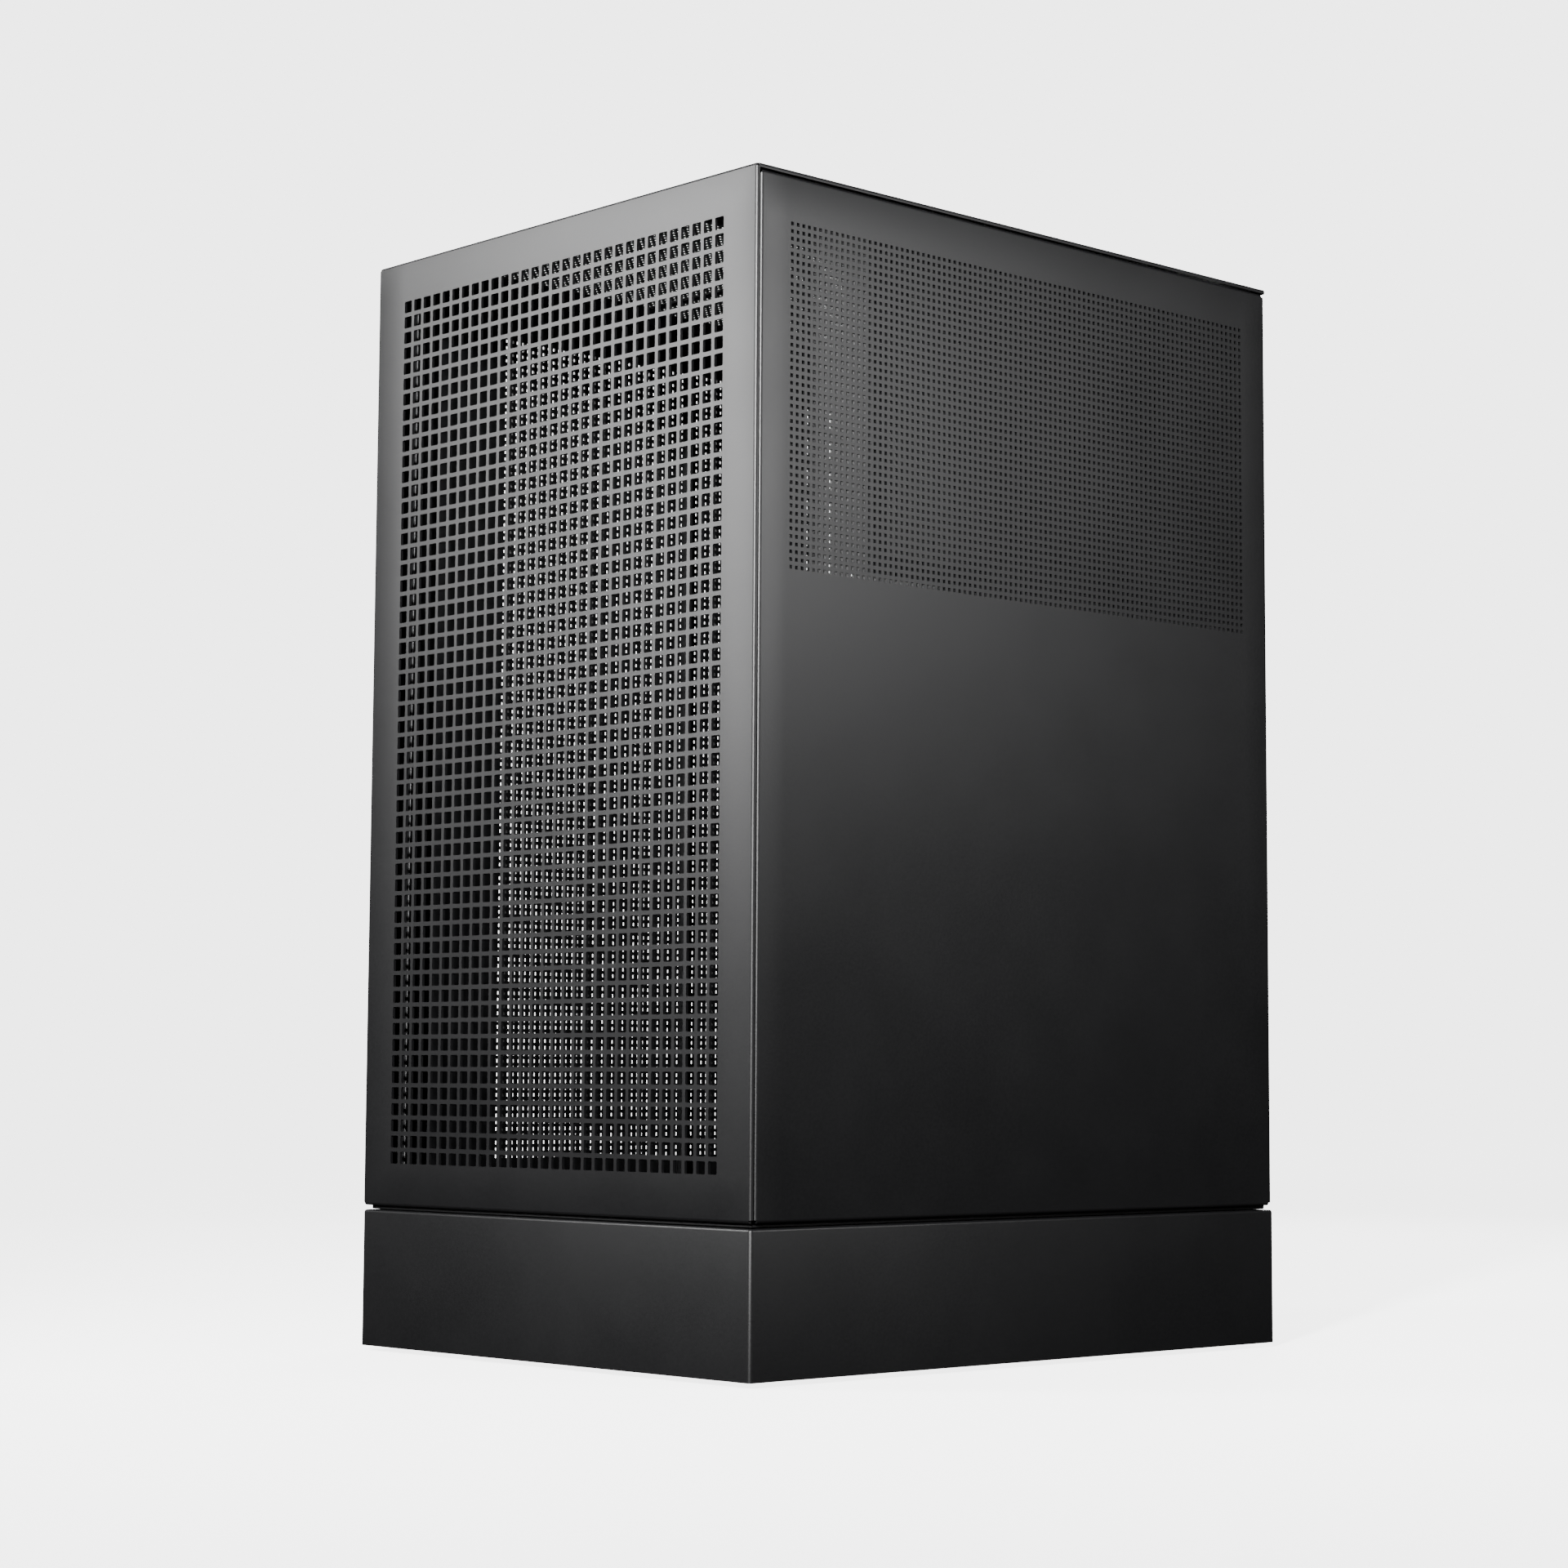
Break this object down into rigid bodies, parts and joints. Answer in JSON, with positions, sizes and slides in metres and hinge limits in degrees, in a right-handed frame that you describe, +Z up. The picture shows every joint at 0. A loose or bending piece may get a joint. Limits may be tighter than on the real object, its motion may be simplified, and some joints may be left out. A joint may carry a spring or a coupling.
{
  "type": "compact tower computer chassis",
  "caption": "Empty compact tower computer chassis with perforated steel skins on a plinth, holding a small board, a power supply and a card.",
  "frame": {"origin": "middle of the footprint, on the ground under the feet", "axes": "+Z up, front skin faces -Y, board tray on the +X side"},
  "size_m": [0.226, 0.281, 0.428],
  "materials": {
    "powder_coated_steel": "fine-texture black powder coat",
    "black_painted_steel": "satin black paint",
    "black_zinc_screw": "black zinc plating",
    "brass": "turned brass",
    "black_rubber": "matt",
    "black_abs": "fine spark-eroded texture",
    "black_nylon": "satin",
    "black_circuit_board": "black solder mask",
    "nickel_plated_shell": "nickel plating"
  },
  "bodies": {
    "chassis": {"audio_jack": "black_abs", "board_standoff_lower_front": "brass", "board_standoff_lower_rear": "brass", "board_standoff_upper_front": "brass", "board_standoff_upper_rear": "brass", "button_guide": "black_abs", "cable_grommet_lower": "black_rubber", "cable_grommet_upper": "black_rubber", "drive_bracket": "black_painted_steel", "fan_frame": "black_abs", "fan_screw_lower_left": "black_zinc_screw", "fan_screw_lower_right": "black_zinc_screw", "fan_screw_upper_left": "black_zinc_screw", "fan_screw_upper_right": "black_zinc_screw", "foot_front_left": "black_rubber", "foot_front_right": "black_rubber", "foot_rear_left": "black_rubber", "foot_rear_right": "black_rubber", "frame_floor": "black_painted_steel", "front_frame": "black_painted_steel", "left_side_post": "black_painted_steel", "mains_inlet": "black_nylon", "motherboard_tray": "black_painted_steel", "plinth_floor": "black_painted_steel", "plinth_skirt": "powder_coated_steel", "port_board": "black_circuit_board", "power_supply_bracket": "black_painted_steel", "power_switch": "black_abs", "rear_wall": "black_painted_steel", "shadow_gap_frame": "black_painted_steel", "top_frame": "black_painted_steel", "tray_screen": "black_painted_steel", "usb_a_port_front": "nickel_plated_shell", "usb_a_port_rear": "nickel_plated_shell", "usb_c_port": "nickel_plated_shell"},
    "front_panel": {"front_panel": "powder_coated_steel"},
    "top_panel": {"top_panel": "powder_coated_steel"},
    "left_panel": {"left_panel": "powder_coated_steel"},
    "right_panel": {"right_panel": "powder_coated_steel"},
    "fan_rotor": {"fan_rotor": "black_abs"},
    "power_button": {"power_button": "black_abs"},
    "slot_cover_1": {"slot_cover_1": "black_painted_steel", "slot_screw_1": "black_zinc_screw"},
    "slot_cover_2": {"slot_cover_2": "black_painted_steel", "slot_screw_2": "black_zinc_screw"}
  },
  "joints": [
    {"name": "front_panel_pull", "type": "slide", "parent": "chassis", "child": "front_panel", "axis": [0, -1, 0], "range_m": [0, 0.12]},
    {"name": "top_panel_lift", "type": "slide", "parent": "chassis", "child": "top_panel", "axis": [0, 0, 1], "range_m": [0, 0.12]},
    {"name": "left_panel_pull", "type": "slide", "parent": "chassis", "child": "left_panel", "axis": [-1, 0, 0], "range_m": [0, 0.12]},
    {"name": "right_panel_pull", "type": "slide", "parent": "chassis", "child": "right_panel", "axis": [1, 0, 0], "range_m": [0, 0.12]},
    {"name": "fan_spin", "type": "hinge", "parent": "chassis", "child": "fan_rotor", "pos_m": [-0.025, 0.1235, 0.201], "axis": [0, 1, 0], "continuous": true},
    {"name": "power_button_press", "type": "slide", "parent": "chassis", "child": "power_button", "axis": [1, 0, 0], "range_m": [0, 0.0012], "stiffness_N_per_m": 1500, "springref_m": -0.0006},
    {"name": "slot_cover_1_pull", "type": "slide", "parent": "chassis", "child": "slot_cover_1", "axis": [0, 1, 0], "range_m": [0, 0.06]},
    {"name": "slot_cover_2_pull", "type": "slide", "parent": "chassis", "child": "slot_cover_2", "axis": [0, 1, 0], "range_m": [0, 0.06]}
  ]
}
